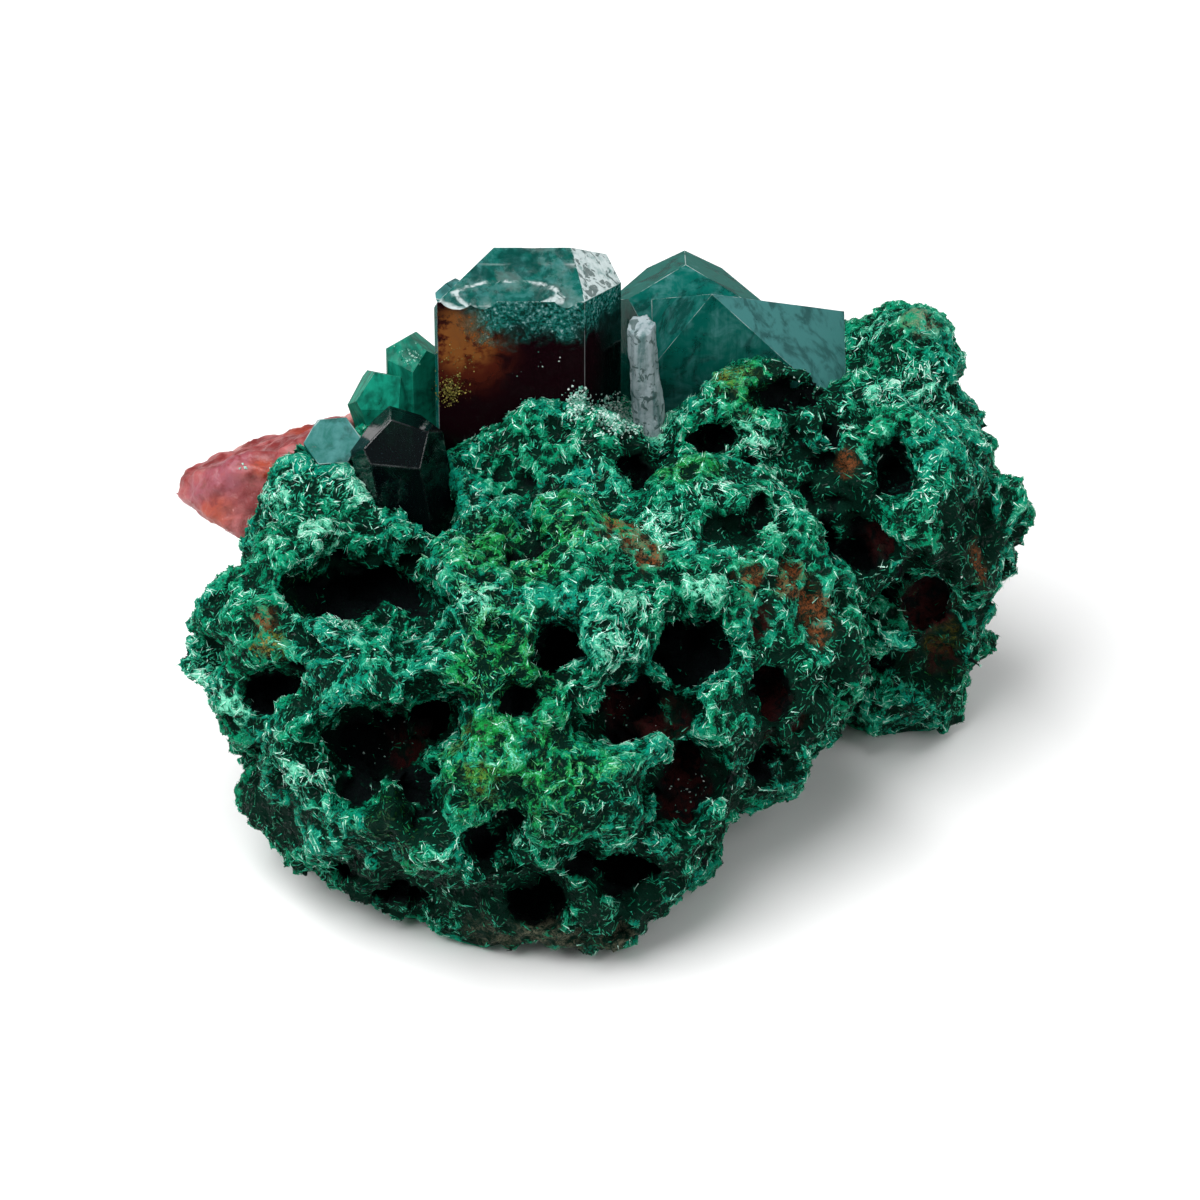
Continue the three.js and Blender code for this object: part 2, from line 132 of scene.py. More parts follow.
# Chips along the crystals' edges: the middle and radius of the ball that cuts each
LARGE_CHIPS = (((-8.7, 3.85, 32.6), 1.6), ((-7.2, 3.75, 32.65), 1.7), ((-2.2, 4.1, 32.4), 1.2),
               ((-4.4, 8.6, 34.6), 1.2), ((-6.2, 4.7, 36.1), 3.6), ((-3.4, 5.6, 36.2), 3.4),
               ((0.8, 6.4, 32.4), 1.1))
PAIRED_CHIPS = (((7.6, 8.3, 31.4), 1.25), ((10.4, 8.2, 29.4), 1.0), ((5.2, 8.3, 30.2), 1.0),
                ((13.6, 9.0, 26.8), 1.1), ((5.0, 15.8, 29.6), 1.3))
CHIP_VEIL = (0.8, 0.35, 0.1)  # share, lightness and wear of a chip's surface
# The smaller clear crystals: solid, piece, veils, share and lightness of other faces, colours, wear and chips
CLEAR_CRYSTALS = (
    ("paired_crystals", "paired_dioptase", PAIRED_VEILS, (0.8, 0.15), "teal", 0.5, PAIRED_CHIPS),
    # The crystal in the hollow is veiled near black as painted shade of the hollow
    ("hollow_crystal", "hollow_dioptase", (), (0.6, 0.0), "black", 0.06, ()),
    ("left_crystals", "left_dioptase", (), (0.88, 0.6), "green", 0.4, ()),
    ("left_flat_crystal", "flat_dioptase", FLAT_VEILS, (0.5, 0.3), "teal", 0.4, ()))
LARGE_WEAR = 0.85  # how pale the large crystal's worn edges are
# Two ragged bright ovals on the large crystal's roof: middle, reach and width
ROOF_OVALS = (((-5.9, 5.4, 32.1), (3.0, 1.0, 1.0), 0.13), ((-5.2, 6.2, 32.4), (6.0, 2.2, 2.2), 0.08))
# The iron film on its front: middle and reach of the orange part, of the maroon part and of the whole
FILM_ORANGE = ((-8.5, 4.8, 29.3), 3.3)
FILM_MAROON = ((-8.2, 4.8, 28.4), 4.4)
FILM_WHOLE = ((-6.0, 4.8, 28.0), 10.0)
# The threads' layers: piece, seed, and whether it is the layer of long pale ones
THREADS = (("green_threads", 3, False), ("short_threads", 4, False), ("mint_threads", 5, True))
THREAD_FLOOR = 0.75  # no thread starts lower than this many millimetres above the floor
GRAIN_SEEDS = {"white_grains": 6, "golden_grains": 7}
# In millimetres: how far from the rock's points a crystal is looked for, for their relief and for contact,
# how near to it they move onto it, how far from it they stop, and how low they move down to the floor
RELIEF_REACH, SEARCH_REACH, TOUCH_REACH, TOUCH_GAP, FLOOR_REACH = 3.0, 0.75, 0.7, 0.04, 0.15
OPEN_REACH = 6.0  # millimetres within which a point's view of the sky is judged
PILLAR_CELL = 0.11  # millimetres


class Socket:
    """One output of a node; arithmetic on it adds Math nodes."""

    def __init__(self, finish, link):
        self.finish, self.link = finish, link

    def maths(self, operation, *terms):
        return self.finish.node("ShaderNodeMath", {"operation": operation}, dict(enumerate(terms)))

    def __add__(self, other):
        return self.maths("ADD", self, other)

    __radd__ = __add__

    def __sub__(self, other):
        return self.maths("SUBTRACT", self, other)

    def __rsub__(self, other):
        return self.maths("SUBTRACT", other, self)

    def __mul__(self, other):
        return self.maths("MULTIPLY", self, other)

    __rmul__ = __mul__

    def __abs__(self):
        return self.maths("ABSOLUTE", self)


class Finish:
    """A material and the one method that adds its nodes."""

    def __init__(self, name):
        self.material = bpy.data.materials.new(name)
        self.material.use_nodes = True
        self.tree = self.material.node_tree
        self.tree.nodes.clear()
        self.place = self.node("ShaderNodeTexCoord", out="Object")

    def node(self, kind, settings=(), inputs=(), out=0):
        """Adds a node, sets its settings first and then its sockets, and returns one of its outputs."""
        made = self.tree.nodes.new(kind)
        for key, value in dict(settings).items():
            setattr(made, key, value)
        for key, value in dict(inputs).items():
            if isinstance(value, Socket):
                self.tree.links.new(value.link, made.inputs[key])
            elif made.inputs[key].type == "RGBA":
                made.inputs[key].default_value = (*value[:3], 1)
            else:
                made.inputs[key].default_value = value
        return Socket(self, made.outputs[out]) if out is not None else None

    def noise(self, size, detail=3.0, roughness=0.55, distortion=0.0):
        """Cloudy noise between 0 and 1 whose features are about as wide as size, in millimetres."""
        return self.node("ShaderNodeTexNoise", {}, {
            "Vector": self.place, "Scale": 1 / (size * MM), "Detail": detail, "Roughness": roughness,
            "Distortion": distortion}, "Fac")

    def value(self, name):
        """A number kept on the mesh's points."""
        return self.node("ShaderNodeAttribute", {"attribute_name": name}, out="Fac")

    def step(self, value, low, high):
        """0 below low, 1 above high, smooth between; low may be the larger of the two."""
        return self.node("ShaderNodeMapRange", {"interpolation_type": "SMOOTHSTEP"},
                         {"Value": value, "From Min": low, "From Max": high})

    def blend(self, share, first, second):
        """Mixes two colours."""
        return self.node("ShaderNodeMix", {"data_type": "RGBA"}, {0: share, 6: first, 7: second}, 2)

    def spot(self, centre, radius):
        """1 at a point of the piece, falling to 0 at a distance; all in millimetres."""
        apart = self.node("ShaderNodeVectorMath", {"operation": "DISTANCE"},
                          {0: self.place, 1: [c * MM for c in centre]}, "Value")
        return self.step(apart, radius * MM, 0.0)

    def ring(self, centre, reach, width, ragged):
        """1 along a ragged oval round a point, in millimetres, falling to 0 within a share of its reach."""
        away = self.node("ShaderNodeVectorMath", {"operation": "SUBTRACT"},
                         {0: self.place, 1: [c * MM for c in centre]}, "Vector")
        away = self.node("ShaderNodeVectorMath", {"operation": "MULTIPLY"},
                         {0: away, 1: [1 / (r * MM) for r in reach]}, "Vector")
        apart = self.node("ShaderNodeVectorMath", {"operation": "LENGTH"}, {0: away}, "Value") - 1 + ragged
        return self.step(abs(apart), width, 0.3 * width)

    def layer(self, share, below, above):
        """Mixes two shaders."""
        return self.node("ShaderNodeMixShader", {}, {0: share, 1: below, 2: above})

    def bump(self, height, distance, strength=1.0):
        """A normal from a height, which stands for a relief as deep as distance, in millimetres."""
        return self.node("ShaderNodeBump", {}, {"Strength": strength, "Distance": distance * MM,
                                                "Height": height})

    def shell(self, **sockets):
        """A Principled shader, its sockets named with underscores."""
        named = {key.replace("_", " ").replace("ior", "IOR"): value for key, value in sockets.items()}
        return self.node("ShaderNodeBsdfPrincipled", {}, named)

    def end(self, surface, volume=None):
        """Links the finished shaders and returns the material."""
        inputs = {"Surface": surface} if volume is None else {"Surface": surface, "Volume": volume}
        self.node("ShaderNodeOutputMaterial", {}, inputs, None)
        return self.material


def merged(node):
    """A solid's mesh with its loose triangles joined, as a bmesh in millimetres."""
    bm = bmesh.new()
    bm.from_mesh(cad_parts[node].data)
    bmesh.ops.scale(bm, vec=(1 / MM,) * 3, verts=bm.verts)
    bmesh.ops.remove_doubles(bm, verts=bm.verts, dist=0.002)
    return bm


def mesh_of(name, bm):
    """A mesh made from a bmesh, which is freed."""
    mesh = bpy.data.meshes.new(name)
    bm.to_mesh(mesh)
    bm.free()
    return mesh


def with_modifier(mesh, kind, **settings):
    """The mesh that one modifier makes of a mesh."""
    holder = bpy.data.objects.new("holder", mesh)
    bpy.context.scene.collection.objects.link(holder)
    modifier = holder.modifiers.new(kind, kind)
    for key, value in settings.items():
        setattr(modifier, key, value)
    bpy.context.view_layer.update()
    made = bpy.data.meshes.new_from_object(holder.evaluated_get(bpy.context.evaluated_depsgraph_get()))
    bpy.data.objects.remove(holder)
    return made


def finished(name, mesh, materials, node=None, smooth=True):
    """Puts a mesh, given in millimetres, into the scene as a piece in metres."""
    mesh.name = name
    mesh.transform(Matrix.Scale(MM, 4))
    for material in materials:
        mesh.materials.append(material)
    mesh.polygons.foreach_set("use_smooth", [smooth] * len(mesh.polygons))
    mesh.update()
    piece = bpy.data.objects.new(name, mesh)
    bpy.context.scene.collection.objects.link(piece)
    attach(piece, "root")
    if node:
        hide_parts(node)
    return piece


def copied(name):
    """A copy of a finished piece's mesh in millimetres."""
    mesh = bpy.data.objects[name].data.copy()
    mesh.transform(Matrix.Scale(1 / MM, 4))
    return mesh


def read(items, key, width, kind=np.float32):
    """A column of a mesh's data as an array."""
    flat = np.empty(len(items) * width, kind)
    items.foreach_get(key, flat)
    return flat.reshape(-1, width) if width > 1 else flat


def keep(mesh, name, values):
    """Keeps a number on each point of a mesh."""
    mesh.attributes.new(name, "FLOAT", "POINT").data.foreach_set("value", np.asarray(values, np.float32))


def smoothed(mesh, values, rounds):
    """Values on a mesh's points, averaged with their neighbours a number of times."""
    ends = read(mesh.edges, "vertices", 2, np.int32)
    a, b = ends[:, 0], ends[:, 1]
    total = len(mesh.vertices)
    share = np.maximum(np.bincount(a, minlength=total) + np.bincount(b, minlength=total), 1)
    columns = np.atleast_2d(np.asarray(values, float).T)
    for _ in range(rounds):
        around = [np.bincount(a, c[b], total) + np.bincount(b, c[a], total) for c in columns]
        columns = 0.5 * columns + 0.5 * np.array(around) / share
    return columns.T if np.ndim(values) > 1 else columns[0]


def ease(values, low, high):
    """0 below low, 1 above high, smooth between."""
    part = np.clip((np.asarray(values) - low) / (high - low), 0, 1)
    return part * part * (3 - 2 * part)


def unit(vectors):
    """Vectors scaled to length 1."""
    return vectors / np.maximum(np.linalg.norm(vectors, axis=1, keepdims=True), 1e-9)


def tree_of(mesh):
    """A search tree over a mesh's triangles."""
    mesh.calc_loop_triangles()
    corners = read(mesh.loop_triangles, "vertices", 3, np.int32)
    return BVHTree.FromPolygons(read(mesh.vertices, "co", 3).tolist(), corners.tolist())


def crystal_tree():
    """A search tree over all crystals and the pink stone, in millimetres."""
    joined = bmesh.new()
    for node in (*CRYSTALS, "pink_stone"):
        joined.from_mesh(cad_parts[node].data)
    bmesh.ops.scale(joined, vec=(1 / MM,) * 3, verts=joined.verts)
    tree = BVHTree.FromBMesh(joined)
    joined.free()
    return tree


def hollow(place, cell, deepest):
    """Depth of round pits with low raised rims, one in each cell of a loose pattern, some left out."""
    near, seeds = noise.voronoi(place / cell)
    width = 0.42 + 0.26 * noise.noise(seeds[0] * 7.3)
    if width < 0.30:
        return 0.0
    apart = near[0] / width
    rim = 0.16 * deepest * math.exp(-((apart - 1.15) / 0.2) ** 2)
    return deepest * math.sqrt(max(0.0, 1 - apart ** 2)) - rim


def relief(place):
    """Height of the rock's knobs and pits at a place, in millimetres."""
    knobs = 0.8 * noise.fractal(place / 2.9, 0.9, 2.0, 3)
    crowd = max(0.0, min(1.0, 0.6 + 1.6 * noise.noise(place / 6.0)))
    bent = place + 0.4 * noise.noise_vector(place / 1.1)
    return knobs - crowd * (hollow(bent, 2.9, 2.1) + hollow(bent + Vector((5, 2, 9)), 1.7, 1.1))


def swirl(place):
    """A wavy field; the crust's veins run where it is near 0 and its threads follow its contours."""
    return noise.noise(place / 1.5) + 0.5 * noise.noise(place / 0.7 + Vector((4, 8, 1)))


def vein(place):
    """1 along the middle of a vein, falling to 0 beside it."""
    return math.exp(-(swirl(place) / 0.11) ** 2)


def crumb(place):
    """Height of the rock's finest relief at a place, in millimetres."""
    ridges = abs(noise.noise(place / 0.9)) + 0.6 * abs(noise.noise(place / 0.5 + Vector((9, 3, 5))))
    return 0.03 - 0.46 * ridges + 0.24 * vein(place)


def points(mesh):
    """Places of a mesh's points."""
    return read(mesh.vertices, "co", 3).astype(float)


def put(mesh, place):
    """Moves a mesh's points."""
    mesh.vertices.foreach_set("co", np.asarray(place, np.float32).ravel())
    mesh.update()


def raised(mesh, place, height):
    """Moves a mesh's points from their places along its normals."""
    put(mesh, place + read(mesh.vertices, "normal", 3) * height[:, None])


def celled(node, cell, rounds):
    """A solid's mesh in fine even cells, with its facets smoothed over, and the places of its points."""
    mesh = with_modifier(mesh_of(node, merged(node)), "REMESH", mode="VOXEL", voxel_size=cell)
    place = smoothed(mesh, points(mesh), rounds)
    put(mesh, place)
    return mesh, place


def one_shell(mesh):
    """The mesh without the small closed bubbles that lie inside it."""
    bm = bmesh.new()
    bm.from_mesh(mesh)
    left, shells = set(bm.verts), []
    while left:
        shell, edge = set(), [left.pop()]
        while edge:
            vert = edge.pop()
            shell.add(vert)
            for link in vert.link_edges:
                other = link.other_vert(vert)
                if other in left:
                    left.discard(other)
                    edge.append(other)
        shells.append(shell)
    shells.sort(key=len)
    bmesh.ops.delete(bm, geom=[v for shell in shells[:-1] for v in shell], context="VERTS")
    return mesh_of(mesh.name, bm)


def open_share(mesh, rays, reach):
    """Share of the sky that each point of a mesh sees within a reach, by casting a few rays from it."""
    tree = tree_of(mesh)
    rng = np.random.default_rng(11)
    place, normal = read(mesh.vertices, "co", 3), read(mesh.vertices, "normal", 3)
    seen = np.zeros(len(place))
    starts = [Vector(p) for p in place + 0.05 * normal]
    for _ in range(rays):
        ways = unit(normal + 0.98 * unit(rng.normal(size=place.shape)))
        for i, way in enumerate(ways.tolist()):
            found = tree.ray_cast(starts[i], way, reach)[3]
            seen[i] += 1.0 if found is None else 0.4 * found / reach
    return smoothed(mesh, seen / rays, 2)


def sight(right, up):
    """The way from the eye through a point of the picture, in millimetres from the picture's middle."""
    return (AIM + Vector((right, 0, 0)) + VIEW_UP * up - EYE).normalized()


def spot_shares(mesh, stains):
    """How much of each listed spot a point of a mesh has, for stains and for painted shade alike, from spots
    cast onto it along the view.
    """
    tree, place = tree_of(mesh), points(mesh)
    rough = np.array([noise.fractal(Vector(p) / 1.3, 1.0, 2.0, 2) for p in place])
    shares = {}
    for name, spots in stains.items():
        share = np.zeros(len(place))
        for right, up, radius in spots:
            found = tree.ray_cast(EYE, sight(right, up))[0]
            if found is None:
                continue
            apart = np.linalg.norm(place - np.array(found), axis=1)
            near = 1 - ease(apart + 0.55 * radius * rough, 0.45 * radius, 1.15 * radius)
            share = np.maximum(share, near)
        shares[name] = share
    return shares


def opened(mesh, depth):
    """How far each point of a mesh is pushed away from the eye to open the hollows, in millimetres."""
    tree, place = tree_of(mesh), points(mesh)
    away = (AIM - EYE).normalized()
    apart = place - np.array(EYE)
    far = apart @ np.array(away)
    right = apart[:, 0] / far * VIEW_DISTANCE
    up = apart @ np.array(VIEW_UP) / far * VIEW_DISTANCE
    rough = np.array([noise.noise(Vector(p) / 1.4) for p in place.tolist()])
    push = np.zeros(len(place))
    for aside, above, wide, high in HOLLOWS:
        found = tree.ray_cast(EYE, sight(aside, above))[0]
        if found is None:
            continue
        floor = (found - EYE).dot(away)
        off = np.hypot((right - aside) / wide, (up - above) / high) + 0.2 * rough
        push = np.maximum(push, (1 - ease(off, 0.75, 1.2)) * (far < floor + 2.5))
    return depth * push[:, None] * np.array(away)


def rock_mesh(settings):
    """The rock in fine even cells, with its relief, its contact with the crystals and what its finish reads.
    Its points near a crystal move onto the crystal, and those near the floor move down to it."""
    cell = settings.cell / MM
    mesh, place = celled("matrix", cell, settings.softening)
    solids = crystal_tree()
    clear = np.array([solids.find_nearest(p, RELIEF_REACH)[3] or RELIEF_REACH for p in place.tolist()])
    height = np.array([relief(Vector(p)) for p in place])
    free = (ease(clear, 0.4, 2.4) * ease(place[:, 2], 0.05, 1.2))[:, None]
    shift = read(mesh.vertices, "normal", 3) * height[:, None] + opened(mesh, settings.opening / MM)
    put(mesh, place + free * shift)
    mesh = one_shell(with_modifier(mesh, "REMESH", mode="VOXEL", voxel_size=cell))
    place = points(mesh)
    raised(mesh, place, np.array([crumb(Vector(p)) for p in place]) * ease(place[:, 2], 0.05, 0.8))
    mesh = with_modifier(mesh, "DECIMATE", ratio=min(1.0, settings.triangles / (2 * len(mesh.polygons))))
    place = points(mesh)
    for i, p in enumerate(place.tolist()):
        spot, normal, _, apart = solids.find_nearest(p, SEARCH_REACH)
        if spot is not None and (apart < TOUCH_REACH or (Vector(p) - spot).dot(normal) < 0):
            place[i] = spot + TOUCH_GAP * normal
    place[place[:, 2] < FLOOR_REACH, 2] = 0.0
    put(mesh, place)
    normal = read(mesh.vertices, "normal", 3)
    # Crests are painted lighter, partly as mint crust and partly as a painted highlight; creases are painted
    # darker as painted shade, and upward faces lighter as painted light
    crest = np.einsum("ij,ij->i", normal, 2 * place - smoothed(mesh, place, 12) - smoothed(mesh, place, 3))
    keep(mesh, "crest", ease(crest, 0.0, 0.4))
    keep(mesh, "crevice", ease(-crest, 0.0, 0.3))
    keep(mesh, "upward", ease(smoothed(mesh, normal[:, 2], 6), 0.1, 0.9))
    keep(mesh, "openness", open_share(mesh, settings.rays, OPEN_REACH))
    keep(mesh, "vein", [vein(Vector(p)) for p in place.tolist()])
    for name, share in spot_shares(mesh, STAINS_AND_SHADE).items():
        keep(mesh, name, share)
    return mesh


def rock_finish(settings):
    """Green crust: emerald and dark green, paler on crests and veins, with painted highlight on crests and
    upward faces and painted shade in creases and dark patches, near black in the pits from their coating and
    painted shade, and stains.
    """
    f = Finish("green_crust")
    openness, crest, leaf, dim = f.value("openness"), f.value("crest"), f.value("leaf"), f.value("dim")
    cloud, patch = f.noise(2.4, 4.0, 0.6), f.noise(5.0, 3.0, 0.6)
    thread = f.noise(0.30, 4.0, 0.7, 1.6)
    # Lightness of the crust: its threads, clouds, patches and veins, with a painted highlight on crests and
    # upward faces and painted shade in the dark patches and creases
    light = thread + 0.2 * crest + 0.12 * cloud + 0.1 * f.value("upward") + 0.16 * f.value("vein")
    light = light - 0.46 * dim + 0.5 * (patch - 0.5) - 0.3 * f.value("crevice")
    teal = f.blend(f.step(f.noise(6.0, 2.0), 0.42, 0.6), settings.emerald, settings.teal)
    green = f.blend(leaf * f.step(cloud, 0.35, 0.6), teal, settings.leaf)
    colour = f.blend(f.step(light, 0.58, 0.80), settings.deep, green)
    colour = f.blend(f.step(light + 0.2 * f.value("pale"), 0.86, 1.08), colour, settings.mint)
    broken = f.step(f.noise(1.1, 4.0, 0.65, 1.0), 0.36, 0.56)
    for name, tint, share in (("rust", settings.rust, 1.0), ("olive", settings.olive, 0.7),
                              ("tan", settings.tan, 0.8), ("base", settings.base, 0.9)):
        colour = f.blend(f.value(name) * share * f.step(thread, 0.38, 0.6) * broken, colour, tint)
    # Near black where a point sees little of the sky and in the listed hollows: the pits' dark coating, and
    # painted shade
    dark = f.step(openness, 0.52, 0.2) + 0.9 * f.value("hollows") * f.step(openness, 0.8, 0.58)
    colour = f.blend(f.step(dark, 0.0, 1.0) * f.step(thread, 0.9, 0.45), colour, settings.pit)
    lining = 0.85 * f.value("maroon") * f.step(openness, 0.95, 0.6) * broken
    colour = f.blend(lining, colour, settings.maroon)
    rough = f.noise(0.16, 3.0, 0.7)
    surface = f.shell(Base_Color=colour, Roughness=0.42 + 0.35 * rough, Specular_IOR_Level=0.05,
                      Normal=f.bump(thread + 0.5 * rough, 0.16, 1.0))
    return f.end(surface)


def shape_of(bm):
    """The points and faces of a small shape as arrays; its bmesh is freed."""
    bmesh.ops.recalc_face_normals(bm, faces=bm.faces)
    shape = np.array([v.co for v in bm.verts]), np.array([[v.index for v in f.verts] for f in bm.faces])
    bm.free()
    return shape


def splinter():
    """A slender splinter of four faces, one long along Z."""
    bm = bmesh.new()
    bmesh.ops.create_cone(bm, cap_ends=True, segments=3, radius1=0.5, radius2=0, depth=1)
    bmesh.ops.remove_doubles(bm, verts=bm.verts, dist=0.001)
    bmesh.ops.triangulate(bm, faces=bm.faces)
    return shape_of(bm)


def grain():
    """A small eight-sided crystal grain, one across."""
    bm = bmesh.new()
    bmesh.ops.create_cone(bm, segments=4, radius1=0.5, radius2=0, depth=0.6)
    bmesh.ops.translate(bm, vec=(0, 0, 0.3), verts=bm.verts)
    bmesh.ops.mirror(bm, geom=bm.verts[:] + bm.edges[:] + bm.faces[:], axis="Z", merge_dist=0.001)
    bmesh.ops.remove_doubles(bm, verts=bm.verts, dist=0.001)
    return shape_of(bm)


def scattered(mesh, weight, count, rng):
    """Random places on a mesh, more where its points weigh more: places, normals and the nearest points."""
    mesh.calc_loop_triangles()
    corners = read(mesh.loop_triangles, "vertices", 3, np.int32)
    place, normal = read(mesh.vertices, "co", 3), read(mesh.vertices, "normal", 3)
    odds = read(mesh.loop_triangles, "area", 1) * weight[corners].mean(1)
    total = np.cumsum(odds)
    picked = corners[np.searchsorted(total, rng.random(count) * total[-1])]
    part = rng.dirichlet((1, 1, 1), count)
    return (np.einsum("ij,ijk->ik", part, place[picked]), unit(np.einsum("ij,ijk->ik", part, normal[picked])),
            picked[np.arange(count), part.argmax(1)])


def strewn(name, shape, places, along, across, sizes, tones):
    """One mesh with a small shape repeated at many places, each with its own direction, size and tone."""
    corners, faces = shape
    along = unit(along)
    across = unit(np.cross(along, across))
    third = np.cross(along, across)
    axes = np.stack([across * sizes[:, :1], third * sizes[:, 1:2], along * sizes[:, 2:]], axis=1)
    spread = places[:, None, :] + np.einsum("pk,nkd->npd", corners, axes)
    index = faces[None] + (np.arange(len(places)) * len(corners))[:, None, None]
    mesh = bpy.data.meshes.new(name)
    mesh.from_pydata(spread.reshape(-1, 3).tolist(), [], index.reshape(-1, faces.shape[1]).tolist())
    keep(mesh, "tone", np.repeat(tones, len(corners)))
    return mesh


def slope(places):
    """The wavy field and its slope at many places."""
    here, step = [Vector(p) for p in places.tolist()], 0.05
    value = np.array([swirl(p) for p in here])
    ways = (Vector((step, 0, 0)), Vector((0, step, 0)), Vector((0, 0, step)))
    return value, np.array([[swirl(p + way) for way in ways] for p in here]) - value[:, None]


def fibre_mesh(rock, name, count, seed, pale, settings):
    """Fine crust splinters that lie on the rock along its veins, as one mesh."""
    rng = np.random.default_rng(seed)
    on = {n: read(rock.attributes[n].data, "value", 1)
          for n in ("openness", "crest", "crevice", "upward", "vein", *STAINS_AND_SHADE)}
    bare = np.max([on[n] for n in ("rust", "maroon", "tan", "base")], axis=0)
    bare = np.maximum(bare, on["hollows"] * (1 - ease(on["openness"], 0.55, 0.8)))
    high = read(rock.vertices, "co", 3)[:, 2] > THREAD_FLOOR
    # Fewer threads in the patches of painted shade
    weight = ease(on["openness"], 0.2, 0.6) * (1 - 0.9 * bare) * (1 - 0.5 * on["dim"]) * high
    weight *= (0.05 + on["crest"] + 0.8 * on["pale"] + on["vein"]) if pale else 1.0
    places, normal, near = scattered(rock, weight, count, rng)
    value, rise = slope(places)
    along = unit(np.cross(normal, rise)) + rng.normal(0, 0.3, places.shape)
    along = unit(np.cross(np.cross(normal, along), normal)) + rng.uniform(-0.05, 0.3, (count, 1)) * normal
    long = settings.length / MM * rng.uniform(0.5, 1.6, (count, 1)) * (1.0 if pale else 0.55)
    thick = settings.thickness / MM * rng.uniform(0.5, 1.4, (count, 1)) * (0.8 if pale else 1.3)
    patch = np.array([noise.noise(Vector(p) / 2.6) for p in places])
    # Thread tones: a random part, and painted light, lighter on crests and upward faces and darker in creases
    # and in the patches of painted shade
    tones = 0.2 + 0.45 * patch + 0.25 * on["crest"][near] + 0.25 * on["pale"][near] - 0.6 * on["dim"][near]
    tones -= 0.35 * on["crevice"][near]
    tones += 0.2 * on["upward"][near] + 0.3 * np.exp(-(value / 0.12) ** 2) + rng.normal(0, 0.3, count)
    mesh = strewn(name, splinter(), places + 0.03 * normal + along * long * 0.2, along, normal,
                  np.hstack([thick, thick, long]), np.clip(tones, 0, 1))
    keep(mesh, "leaf", np.repeat(on["leaf"][near] * (rng.random(count) < 0.7), len(mesh.vertices) // count))
    return mesh


def grain_mesh(name, spots, carriers, seed):
    """Loose crystal grains cast along the view onto what carries them, as one mesh."""
    rng = np.random.default_rng(seed)
    trees = [tree_of(mesh) for mesh in carriers]
    places, sizes = [], []
    for right, up, spread, count, widest in spots:
        for _ in range(count):
            aside, above = rng.normal(0, 0.5 * spread, 2)
            hits = [tree.ray_cast(EYE, sight(right + aside, up + above)) for tree in trees]
            found = min((hit for hit in hits if hit[0] is not None), key=lambda hit: hit[3], default=None)
            if found:
                places.append(found[0])
                sizes.append(widest * rng.uniform(0.35, 1.0) ** 1.5)
    count = len(places)
    wide = np.array(sizes)[:, None] * rng.uniform(0.7, 1.3, (count, 3))
    along, across = rng.normal(size=(count, 3)), rng.normal(size=(count, 3))
    return strewn(name, grain(), np.array(places), along, across, wide, rng.random(count))


def fibre_finish(name, low, mid, high, leaf=None):
    """Shiny thread or grain whose colour goes with its tone; leaf is the two colours of yellow-green ones."""
    f = Finish(name)
    tone = f.value("tone")
    colour = f.blend(f.step(tone, 0.5, 1.0), f.blend(f.step(tone, 0.0, 0.55), low, mid), high)
    colour = f.blend(0.4 * f.noise(0.5, 2.0), colour, low)
    if leaf:
        colour = f.blend(0.8 * f.value("leaf"), colour, f.blend(f.step(tone, 0.1, 0.9), *leaf))
    surface = f.shell(Base_Color=colour, Roughness=0.35 + 0.3 * f.noise(0.2, 2.0), Specular_IOR_Level=0.2)
    return f.end(surface)


def crystal_solid(node, edge, veils, usual):
    """A crystal with its faces whole again and its edges worn.
    Each face keeps how veiled it is and how light, by the way it looks, the lightness being painted light and
    shade, and whether it is a worn edge."""
    bm = merged(node)
    bmesh.ops.dissolve_limit(bm, angle_limit=math.radians(1.5), verts=bm.verts, edges=bm.edges)
    bm.normal_update()
    veil, tone, worn = (bm.faces.layers.float.new(name) for name in ("veil", "tone", "worn"))
    for face in bm.faces:
        face[veil], face[tone] = usual
        for looks, share, light in veils:
            if face.normal.dot(Vector(looks).normalized()) > SAME_WAY:
                face[veil], face[tone] = share, light
    sharp = [e for e in bm.edges if e.is_manifold and e.calc_face_angle(0) > math.radians(20)]
    made = bmesh.ops.bevel(bm, geom=sharp, offset=edge, offset_type="OFFSET", affect="EDGES", segments=2,
                           profile=0.5, material=-1, clamp_overlap=True)
    for face in made["faces"]:
        if face.calc_area() < 2 * edge * max(e.calc_length() for e in face.edges):
            face[worn] = 1.0 if abs(face.normal.z) > 0.25 else 0.2
    return bm


def chipped(bm, name, chips):
    """A crystal from which shallow shells have broken away; each chip is a place and a radius."""
    mesh = mesh_of(name, bm)
    cutter = bmesh.new()
    for place, radius in chips:
        ball = bmesh.ops.create_icosphere(cutter, subdivisions=3, radius=radius)["verts"]
        for vert in ball:
            vert.co *= 1 + 0.10 * noise.noise(vert.co / radius * 1.5 + Vector(place))
        bmesh.ops.translate(cutter, vec=place, verts=ball)
    holder = bpy.data.objects.new("chips", mesh_of("chips", cutter))
    bpy.context.scene.collection.objects.link(holder)
    mesh = with_modifier(mesh, "BOOLEAN", object=holder, operation="DIFFERENCE", solver="EXACT",
                         use_self=True)
    bpy.data.objects.remove(holder)
    bm = bmesh.new()
    bm.from_mesh(mesh)
    veil, tone, worn = (bm.faces.layers.float[name] for name in ("veil", "tone", "worn"))
    for face in bm.faces:
        middle = face.calc_center_median()
        if any((middle - Vector(place)).length < 1.12 * radius for place, radius in chips):
            face[veil], face[tone], face[worn] = CHIP_VEIL
    return mesh_of(name, bm)


def stretched(f, size, along, detail=3.0):
    """Noise drawn out along one axis, for growth lines."""
    scale = [1.0, 1.0, 1.0]
    scale[along] = 0.12
    place = f.node("ShaderNodeMapping", {}, {"Vector": f.place, "Scale": scale})
    return f.node("ShaderNodeTexNoise", {}, {"Vector": place, "Scale": 1 / (size * MM), "Detail": detail,
                                             "Roughness": 0.6}, "Fac")


